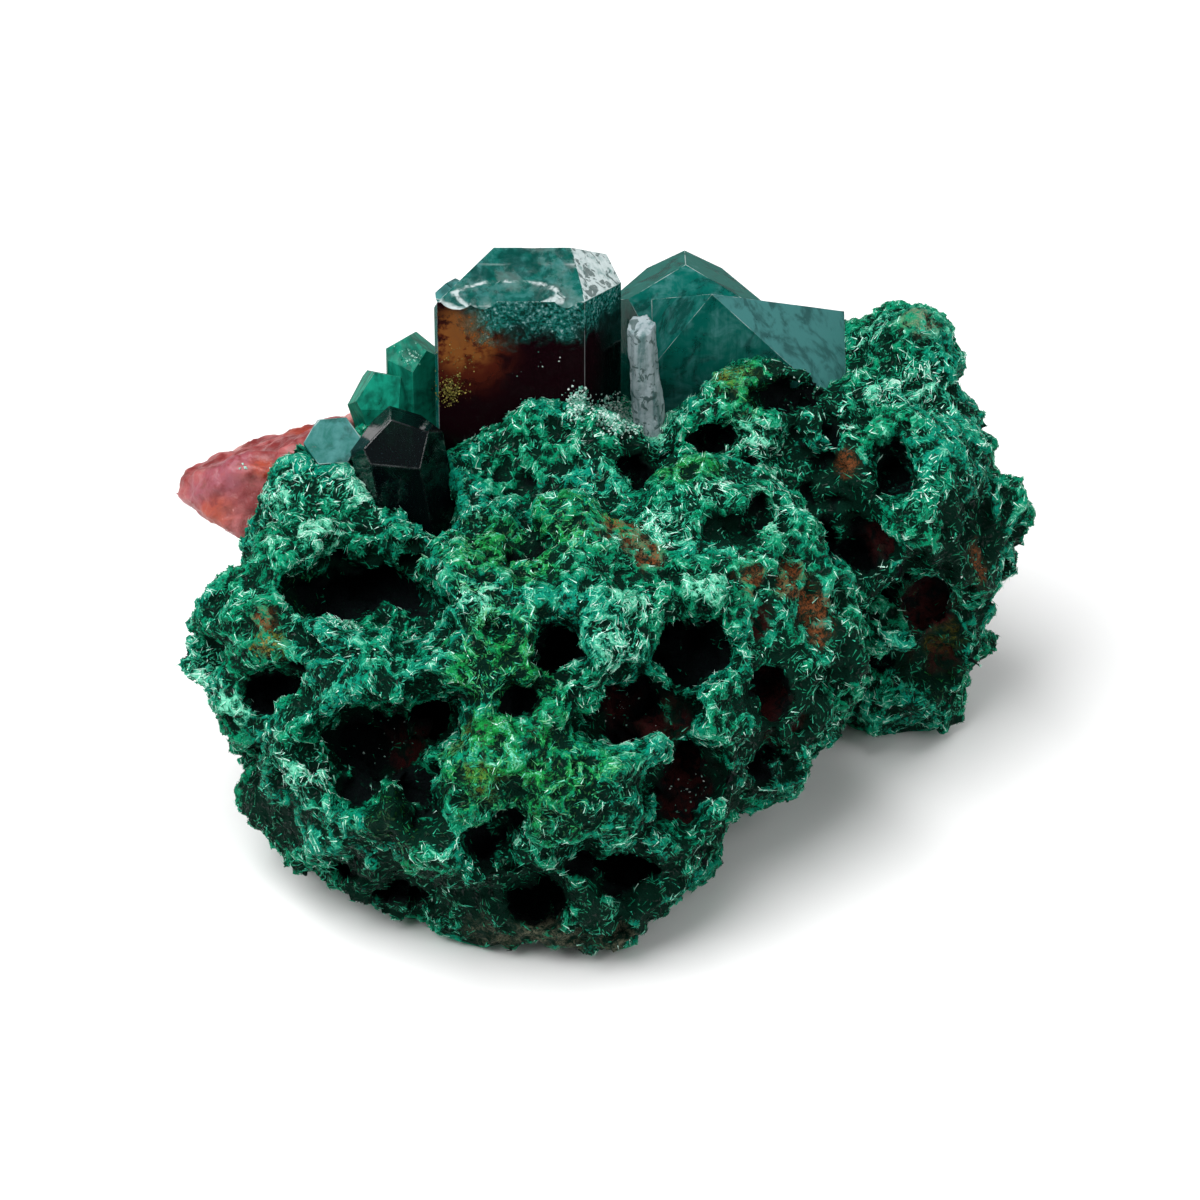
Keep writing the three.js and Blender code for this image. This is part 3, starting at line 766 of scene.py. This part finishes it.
def clear_finish(name, settings, density, dark, light, wear, film=False):
    """Clear dioptase that swallows red light, with dark and light veils on its faces, their lightness painted
    light and shade face by face, and pale worn edges.
    The large crystal has an iron film on its front and a grainy band below its roof."""
    f = Finish(name)
    lines, veins, fine = stretched(f, 0.5, 2), f.noise(1.3, 4.0, 0.65, 0.8), f.noise(0.22, 3.0, 0.7)
    normal = f.bump(0.5 * lines + f.noise(1.6, 2.0) + 0.15 * fine, 0.03, 0.6)
    surface = f.shell(Base_Color=settings.clear, Roughness=f.step(veins, 0.4, 0.8) * 0.2 + 0.04,
                      IOR=settings.ior, Transmission_Weight=1.0, Specular_IOR_Level=settings.shine,
                      Normal=normal)
    veil = f.value("veil")
    share = veil * f.step(veins + 0.25 * lines, 0.1, 0.5)
    bright = f.value("tone") + 1.2 * (veins - 0.5) + 0.6 * (lines - 0.5)
    tone = f.blend(f.step(bright, 0.15, 0.85), dark, light)
    cloud = f.step(f.noise(2.2, 4.0, 0.6, 1.0) + 0.3 * (lines - 0.5), 0.55, 0.36)
    tone = f.blend(0.5 * cloud, tone, settings.black)
    if film:
        right, back, up = (f.node("ShaderNodeSeparateXYZ", {}, {0: f.place}, axis) for axis in "XYZ")
        band = f.step(up + 0.0044 * veins + 0.0008 * fine, 0.0312, 0.0330) * f.step(right, -0.0098, -0.0066)
        band = band * f.step(veil, 0.3, 0.1) * f.step(fine, 0.25, 0.5)
        share = share + (1 - share) * band * 0.9
        tone = f.blend(band * f.step(fine, 0.45, 0.7), tone, light)
        tone = f.blend(0.4 * band * f.step(fine, 0.58, 0.72), tone, settings.frost)
        streak = f.step(stretched(f, 1.6, 0, 4.0), 0.56, 0.66) * 0.6
        ragged = 0.9 * (f.noise(2.0, 3.0, 0.6) - 0.5)
        small, wide = ROOF_OVALS
        streak = streak + f.ring(*small, ragged) * f.step(veins, 0.42, 0.58)
        near = f.step(back, 0.0064, 0.0056) * f.step(veins, 0.36, 0.5)  # only the wide oval's near half
        streak = streak + f.ring(*wide, 0.5 * ragged) * near
        roof = f.step(veil, 0.55, 0.65) * f.step(up, 0.0306, 0.0312)
        tone = f.blend(roof * streak * f.step(fine, 0.25, 0.5) * 0.8, tone, settings.frost)
    skin = f.shell(Base_Color=tone, Roughness=0.3 + 0.3 * fine, Specular_IOR_Level=0.0, Normal=normal)
    surface = f.layer(share, surface, skin)
    if film:
        glow = f.spot(*FILM_ORANGE) * f.step(f.noise(0.9, 4.0, 0.65), 0.3, 0.6)
        warm = f.spot(*FILM_MAROON) * f.step(veins, 0.2, 0.6)
        rust = f.blend(f.step(warm, 0.0, 0.8), settings.film_dark, settings.film_red)
        rust = f.blend(f.step(glow, 0.05, 0.6), rust, settings.film)
        coat = f.shell(Base_Color=rust, Roughness=0.4, Specular_IOR_Level=0.0)
        cover = f.step(f.spot(*FILM_WHOLE), 0.0, 0.5) * f.step(veil, 0.3, 0.1) * (1 - band)
        surface = f.layer(cover * 0.94, surface, coat)
    pale = f.shell(Base_Color=settings.frost, Roughness=0.35, Specular_IOR_Level=0.5, Normal=normal)
    worn = f.value("worn") * f.step(f.noise(2.2, 3.0, 0.6) + 0.3 * fine, 0.58, 0.78) * wear
    surface = f.layer(worn, surface, pale)
    swallow = f.node("ShaderNodeVolumeAbsorption", {}, {"Color": settings.tint, "Density": density})
    return f.end(surface, swallow)


def frosted_finish(name, light, dark, crack):
    """Pale, rough, striated dioptase that scatters the light."""
    f = Finish(name)
    lines, fine = stretched(f, 0.45, 2, 4.0), f.noise(0.25, 4.0, 0.7)
    fissure = f.step(f.noise(0.8, 3.0, 0.6, 1.2), 0.46, 0.40)
    colour = f.blend(f.step(lines + 0.4 * fine, 0.42, 0.78), dark, light)
    colour = f.blend(0.8 * fissure, colour, crack)
    surface = f.shell(Base_Color=colour, Roughness=0.35 + 0.3 * fine, Specular_IOR_Level=0.5,
                      Normal=f.bump(lines + 0.5 * fine, 0.12, 0.9))
    return f.end(surface)


def pillar_mesh():
    """The upright frosted crystal with a rough, stepped skin."""
    mesh, place = celled("side_crystal", PILLAR_CELL, 2)
    along = Vector((1, 1, 0.3))
    height = np.array([0.14 * noise.fractal(Vector(p) * along / 0.9, 0.9, 2.0, 4)
                       - 0.12 * max(0.0, noise.noise(Vector(p) / 1.6)) for p in place])
    raised(mesh, place, height)
    return mesh


def stone_mesh(settings):
    """The pink stone in fine cells with shallow hollows, and the stains that its finish reads."""
    mesh, place = celled("pink_stone", settings.cell / MM, 3)
    height = np.array([0.3 * noise.fractal(Vector(p) / 1.5, 1.0, 2.0, 4)
                       - 0.16 * abs(noise.noise(Vector(p) / 0.7)) for p in place])
    raised(mesh, place, height)
    for name, share in spot_shares(mesh, STONE_STAINS).items():
        keep(mesh, name, share)
    return mesh


def stone_finish(settings):
    """Pink and red stone that lets a little light in."""
    f = Finish("pink_stone_skin")
    cloud, fine = f.noise(2.0, 4.0, 0.6, 0.6), f.noise(0.4, 4.0, 0.7)
    colour = f.blend(f.step(cloud + 0.3 * fine, 0.5, 0.8), settings.red, settings.pink)
    for name, tint in (("purple", settings.purple), ("red", settings.red), ("orange", settings.orange),
                       ("pale", settings.pale)):
        colour = f.blend(0.85 * f.value(name) * f.step(fine + 0.4 * cloud, 0.4, 0.8), colour, tint)
    colour = f.blend(0.6 * f.step(f.noise(1.2, 3.0, 0.6, 0.5), 0.6, 0.72), colour, settings.brown)
    colour = f.blend(0.6 * f.step(fine, 0.64, 0.74), colour, settings.pale)
    surface = f.shell(Base_Color=colour, Roughness=0.25 + 0.3 * fine, Subsurface_Weight=0.3,
                      Subsurface_Scale=0.0012, Subsurface_Radius=(1.0, 0.35, 0.3), Specular_IOR_Level=0.5,
                      Normal=f.bump(fine + 0.4 * cloud, 0.12, 0.8))
    return f.end(surface)


def colour_property(name, description, default):
    """A colour that a user may change."""
    return FloatVectorProperty(name=name, description=description, default=default, subtype="COLOR",
                               min=0, max=1)


def length_property(name, description, default):
    """A length in metres that a user may change."""
    return FloatProperty(name=name, description=description, default=default, subtype="DISTANCE",
                         unit="LENGTH", min=0, precision=5)


def number_property(name, description, default):
    """A plain number that a user may change."""
    return FloatProperty(name=name, description=description, default=default, min=0)


def count_property(name, description, default):
    """A whole number that a user may change."""
    return IntProperty(name=name, description=description, default=default, min=1)


class RockSettings(bpy.types.PropertyGroup):
    """Cells and colours of the green crust rock"""
    cell: length_property("Cell", "Edge of the cells that the rock's surface is made of", 0.0003)
    triangles: count_property("Triangles", "Most triangles of the rock's surface", 196000)
    softening: count_property("Softening", "Rounds of smoothing over the solid's facets", 6)
    opening: length_property("Opening", "How far the hollows are deepened", 0.0022)
    rays: count_property("Rays", "Rays cast from each point to find how open it lies", 12)
    emerald: colour_property("Emerald", "Main colour of the crust", (0.0004, 0.26, 0.12))
    # Deep green also stands for painted shade, and mint for painted highlight, as the crust's lightness falls
    # and rises
    deep: colour_property("Deep green", "Colour of its darker patches", (0.0002, 0.016, 0.009))
    mint: colour_property("Mint", "Colour of its crests", (0.20, 0.70, 0.48))
    teal: colour_property("Teal", "Bluer green of some lobes", (0.0008, 0.26, 0.165))
    leaf: colour_property("Leaf", "Yellower green of the middle", (0.006, 0.25, 0.045))
    # The pits' dark coating, which also stands for the painted shade deep in them
    pit: colour_property("Pit", "Colour deep in the pits", (0.003, 0.005, 0.006))
    rust: colour_property("Rust", "Orange-brown stains", (0.20, 0.06, 0.02))
    maroon: colour_property("Maroon", "Dark red lining of the front hollows", (0.05, 0.009, 0.009))
    olive: colour_property("Olive", "Yellow-green stains", (0.16, 0.19, 0.02))
    tan: colour_property("Tan", "Tan stain of the knob", (0.22, 0.17, 0.10))
    base: colour_property("Base", "Grey-brown stain at the foot", (0.12, 0.12, 0.08))


class FibreSettings(bpy.types.PropertyGroup):
    """Threads of the crust"""
    count: count_property("Count", "Splinters in each of the layers", 45000)
    length: length_property("Length", "Usual length of a splinter", 0.00042)
    thickness: length_property("Thickness", "Usual thickness of a splinter", 0.00009)
    pale: colour_property("Pale", "Palest threads", (0.66, 0.97, 0.85))
    light: colour_property("Light", "Light green threads", (0.03, 0.50, 0.31))
    green: colour_property("Green", "Green threads", (0.0006, 0.19, 0.09))
    dark: colour_property("Dark", "Darkest threads", (0.0002, 0.012, 0.007))
    leaf: colour_property("Leaf", "Yellow-green threads of the middle", (0.03, 0.36, 0.07))
    leaf_dark: colour_property("Dark leaf", "Darkest of those", (0.003, 0.04, 0.004))


class GrainSettings(bpy.types.PropertyGroup):
    """Colours of the loose grains"""
    green: colour_property("Green", "Darkest of the white grains", (0.01, 0.16, 0.10))
    mint: colour_property("Mint", "Usual colour of the white grains", (0.25, 0.55, 0.45))
    white: colour_property("White", "Palest grains", (0.80, 0.90, 0.86))
    brown: colour_property("Brown", "Darkest of the golden grains", (0.05, 0.04, 0.006))
    olive: colour_property("Olive", "Usual colour of the golden grains", (0.12, 0.12, 0.02))
    gold: colour_property("Gold", "Palest golden grains", (0.40, 0.33, 0.08))


class CrystalSettings(bpy.types.PropertyGroup):
    """Clear and frosted dioptase"""
    ior: number_property("Refraction", "Index of refraction of dioptase", 1.66)
    shine: number_property("Shine", "Strength of the surface reflection", 0.14)
    clear: colour_property("Clear", "Colour of the crystal's own surface", (0.85, 0.97, 0.94))
    tint: colour_property("Tint", "Colour that the crystal lets through", (0.05, 0.79, 0.72))
    density: number_property("Density", "How fast light is swallowed, per metre", 1100)
    large_density: number_property("Large density", "The same in the large crystal, per metre", 6000)
    veil: colour_property("Veil", "Lighter parts of veiled faces", (0.058, 0.21, 0.205))
    veil_dark: colour_property("Dark veil", "Darker parts of veiled faces", (0.0015, 0.10, 0.08))
    green: colour_property("Green", "Lighter parts of the small left crystals", (0.008, 0.26, 0.17))
    green_dark: colour_property("Dark green", "Darker parts of the small left crystals", (0.001, 0.09, 0.055))
    # Black stands for the painted shade on the crystal in the hollow, and for dark clouds in veils
    black: colour_property("Black", "Dark crystal in the hollow, and clouds in veils", (0.002, 0.005, 0.006))
    edge: length_property("Edge", "Width of the worn edges", 0.00008)
    film: colour_property("Film", "Iron film on the large crystal", (0.20, 0.068, 0.017))
    film_red: colour_property("Red film", "Maroon parts of the iron film", (0.07, 0.012, 0.006))
    film_dark: colour_property("Dark film", "Nearly black parts of the iron film", (0.007, 0.0015, 0.003))
    frost: colour_property("Frost", "Worn edges, pale grains and streaks", (0.60, 0.68, 0.68))
    rough: colour_property("Rough end", "Light parts of the large crystal's rough end", (0.46, 0.54, 0.54))
    frost_dark: colour_property("Dark frost", "Greener parts of that end", (0.09, 0.20, 0.19))
    pillar: colour_property("Pillar", "Light parts of the upright crystal", (0.25, 0.31, 0.33))
    pillar_dark: colour_property("Dark pillar", "Greener parts of the upright crystal", (0.045, 0.12, 0.12))
    crack: colour_property("Crack", "Cracks of the frosted crystals", (0.008, 0.04, 0.036))


class StoneSettings(bpy.types.PropertyGroup):
    """Cells and colours of the pink stone"""
    cell: length_property("Cell", "Edge of the cells that the stone's surface is made of", 0.00022)
    pink: colour_property("Pink", "Main colour of the stone", (0.38, 0.10, 0.10))
    red: colour_property("Red", "Deep red parts", (0.19, 0.02, 0.02))
    pale: colour_property("Pale", "Palest parts", (0.60, 0.30, 0.28))
    purple: colour_property("Purple", "Purple-pink parts", (0.29, 0.07, 0.10))
    orange: colour_property("Orange", "Orange-red parts", (0.36, 0.055, 0.022))
    brown: colour_property("Brown", "Brown parts", (0.16, 0.04, 0.025))


class StageSettings(bpy.types.PropertyGroup):
    """Floor, light and camera"""
    floor: colour_property("Floor", "Colour of the floor", (0.88, 0.88, 0.88))
    lens: number_property("Lens", "Focal length in millimetres", 158.4)
    top: number_property("Top light", "Power of the light above, in watts", 10.5)
    fill: number_property("Fill light", "Power of the light at the right, in watts", 2.2)
    back: number_property("Back light", "Power of the light behind, in watts", 1.6)
    sky: number_property("Sky", "Strength of the even light from all around", 0.16)


class SPECIMEN_OT_rock(bpy.types.Operator):
    """Make the green crust rock"""
    bl_idname = "specimen.rock"
    bl_label = "Rock"

    def execute(self, context):
        settings = context.scene.specimen_rock
        finished("rock", rock_mesh(settings), [rock_finish(settings)], "matrix")
        return {"FINISHED"}


class SPECIMEN_OT_fibres(bpy.types.Operator):
    """Strew the crust's threads over the rock"""
    bl_idname = "specimen.fibres"
    bl_label = "Crust threads"

    def execute(self, context):
        settings = context.scene.specimen_fibres
        rock = copied("rock")
        leaf = (settings.leaf_dark, settings.leaf)
        green = fibre_finish("green_thread", settings.dark, settings.green, settings.light, leaf)
        mint = fibre_finish("mint_thread", settings.green, settings.light, settings.pale, leaf)
        for name, seed, pale in THREADS:
            mesh = fibre_mesh(rock, name, settings.count, seed, pale, settings)
            finished(name, mesh, [mint if pale else green], smooth=False)
        bpy.data.meshes.remove(rock)
        return {"FINISHED"}


class SPECIMEN_OT_large_crystal(bpy.types.Operator):
    """Make the large crystal with its frosted end"""
    bl_idname = "specimen.large_crystal"
    bl_label = "Large crystal"

    def execute(self, context):
        settings = context.scene.specimen_crystals
        bm = crystal_solid("large_crystal", settings.edge / MM, LARGE_VEILS, LARGE_USUAL)
        veil, tone, worn = (bm.faces.layers.float[name] for name in ("veil", "tone", "worn"))
        for face in bm.faces:
            if face.calc_area() < TINY_FACE and not face[worn]:
                face[veil], face[tone] = TINY_VEIL
        mesh = chipped(bm, "large_dioptase", LARGE_CHIPS)
        for face in mesh.polygons:
            face.material_index = 1 if face.normal.dot(ROUGH_END) > SAME_WAY else 0
        clear = clear_finish("large_dioptase", settings, settings.large_density, settings.veil_dark,
                             settings.veil, LARGE_WEAR, film=True)
        rough = frosted_finish("rough_dioptase", settings.rough, settings.frost_dark, settings.crack)
        finished("large_dioptase", mesh, [clear, rough], "large_crystal", smooth=False)
        return {"FINISHED"}


class SPECIMEN_OT_crystals(bpy.types.Operator):
    """Make the smaller crystals"""
    bl_idname = "specimen.crystals"
    bl_label = "Smaller crystals"

    def execute(self, context):
        settings = context.scene.specimen_crystals
        pale = frosted_finish("frosted_dioptase", settings.pillar, settings.pillar_dark, settings.crack)
        finished("frosted_pillar", pillar_mesh(), [pale], "side_crystal")
        colours = {"teal": (settings.veil_dark, settings.veil), "black": (settings.black, settings.black),
                   "green": (settings.green_dark, settings.green)}
        for node, name, veils, usual, tones, wear, chips in CLEAR_CRYSTALS:
            bm = crystal_solid(node, settings.edge / MM, veils, usual)
            mesh = chipped(bm, name, chips) if chips else mesh_of(name, bm)
            clear = clear_finish(name, settings, settings.density, *colours[tones], wear)
            finished(name, mesh, [clear], node, smooth=False)
        return {"FINISHED"}


class SPECIMEN_OT_pink_stone(bpy.types.Operator):
    """Make the pink stone"""
    bl_idname = "specimen.pink_stone"
    bl_label = "Pink stone"

    def execute(self, context):
        settings = context.scene.specimen_stone
        finished("pink_stone_piece", stone_mesh(settings), [stone_finish(settings)],
                 "pink_stone")
        return {"FINISHED"}


class SPECIMEN_OT_grains(bpy.types.Operator):
    """Strew loose crystal grains over the rock and the crystals"""
    bl_idname = "specimen.grains"
    bl_label = "Grains"

    def execute(self, context):
        settings = context.scene.specimen_grains
        carriers = [copied(name) for name in ("rock", "large_dioptase", "left_dioptase", "pink_stone_piece")]
        for name, spots, colours in (
                ("white_grains", WHITE_GRAINS, (settings.green, settings.mint, settings.white)),
                ("golden_grains", GOLD_GRAINS, (settings.brown, settings.olive, settings.gold))):
            mesh = grain_mesh(name, spots, carriers, GRAIN_SEEDS[name])
            finished(name, mesh, [fibre_finish(name, *colours)], smooth=False)
        for mesh in carriers:
            bpy.data.meshes.remove(mesh)
        return {"FINISHED"}


class SPECIMEN_OT_stage(bpy.types.Operator):
    """Make the floor, the lights and the camera"""
    bl_idname = "specimen.stage"
    bl_label = "Stage"

    def execute(self, context):
        scene, settings = context.scene, context.scene.specimen_stage
        bm = bmesh.new()
        bmesh.ops.create_grid(bm, x_segments=2, y_segments=2, size=1.5)
        floor = bpy.data.objects.new("floor", mesh_of("floor", bm))
        f = Finish("floor_board")
        floor.data.materials.append(f.end(f.shell(Base_Color=settings.floor, Roughness=0.8)))
        scene.collection.objects.link(floor)
        for name, power, size, place in (("top_light", settings.top, 0.7, (-0.3, -0.22, 0.7)),
                                         ("fill_light", settings.fill, 0.6, (0.5, -0.45, 0.45)),
                                         ("back_light", settings.back, 0.5, (0.45, 0.45, 0.5))):
            light = bpy.data.lights.new(name, "AREA")
            light.energy, light.size = power, size
            lamp = bpy.data.objects.new(name, light)
            lamp.location = place
            lamp.rotation_euler = (Vector((0, 0, 0.015)) - lamp.location).to_track_quat("-Z", "Y").to_euler()
            scene.collection.objects.link(lamp)
        world = bpy.data.worlds.new("sky")
        world.use_nodes = True
        world.node_tree.nodes["Background"].inputs["Color"].default_value = (1, 1, 1, 1)
        world.node_tree.nodes["Background"].inputs["Strength"].default_value = settings.sky
        scene.world = world
        scene.view_settings.view_transform = "Standard"
        camera = bpy.data.cameras.new("camera")
        camera.sensor_width, camera.lens, camera.clip_start = 36, settings.lens, 0.01
        eye = bpy.data.objects.new("camera", camera)
        eye.location = EYE * MM
        eye.rotation_euler = (AIM - EYE).to_track_quat("-Z", "Y").to_euler()
        scene.collection.objects.link(eye)
        scene.camera = eye
        return {"FINISHED"}


class SPECIMEN_PT_panel(bpy.types.Panel):
    """Lists the specimen's pieces"""
    bl_label = "Dioptase specimen"
    bl_idname = "SPECIMEN_PT_panel"
    bl_space_type = "VIEW_3D"
    bl_region_type = "UI"
    bl_category = "Specimen"

    def draw(self, context):
        for operator in OPERATORS:
            self.layout.operator(operator.bl_idname)


SETTINGS = {"specimen_rock": RockSettings, "specimen_fibres": FibreSettings,
            "specimen_grains": GrainSettings, "specimen_crystals": CrystalSettings,
            "specimen_stone": StoneSettings, "specimen_stage": StageSettings}
OPERATORS = (SPECIMEN_OT_rock, SPECIMEN_OT_fibres, SPECIMEN_OT_large_crystal, SPECIMEN_OT_crystals,
             SPECIMEN_OT_pink_stone, SPECIMEN_OT_grains, SPECIMEN_OT_stage)


def register():
    """Registers the settings, the operators and the panel."""
    for cls in (*SETTINGS.values(), *OPERATORS, SPECIMEN_PT_panel):
        bpy.utils.register_class(cls)
    for name, cls in SETTINGS.items():
        setattr(bpy.types.Scene, name, PointerProperty(type=cls))


def unregister():
    """Takes them away again."""
    for name in SETTINGS:
        delattr(bpy.types.Scene, name)
    for cls in reversed((*SETTINGS.values(), *OPERATORS, SPECIMEN_PT_panel)):
        bpy.utils.unregister_class(cls)


def main():
    """Makes every piece in order."""
    register()
    bpy.ops.specimen.rock()
    bpy.ops.specimen.fibres()
    bpy.ops.specimen.large_crystal()
    bpy.ops.specimen.crystals()
    bpy.ops.specimen.pink_stone()
    bpy.ops.specimen.grains()
    bpy.ops.specimen.stage()


if __name__ == "__main__":
    main()
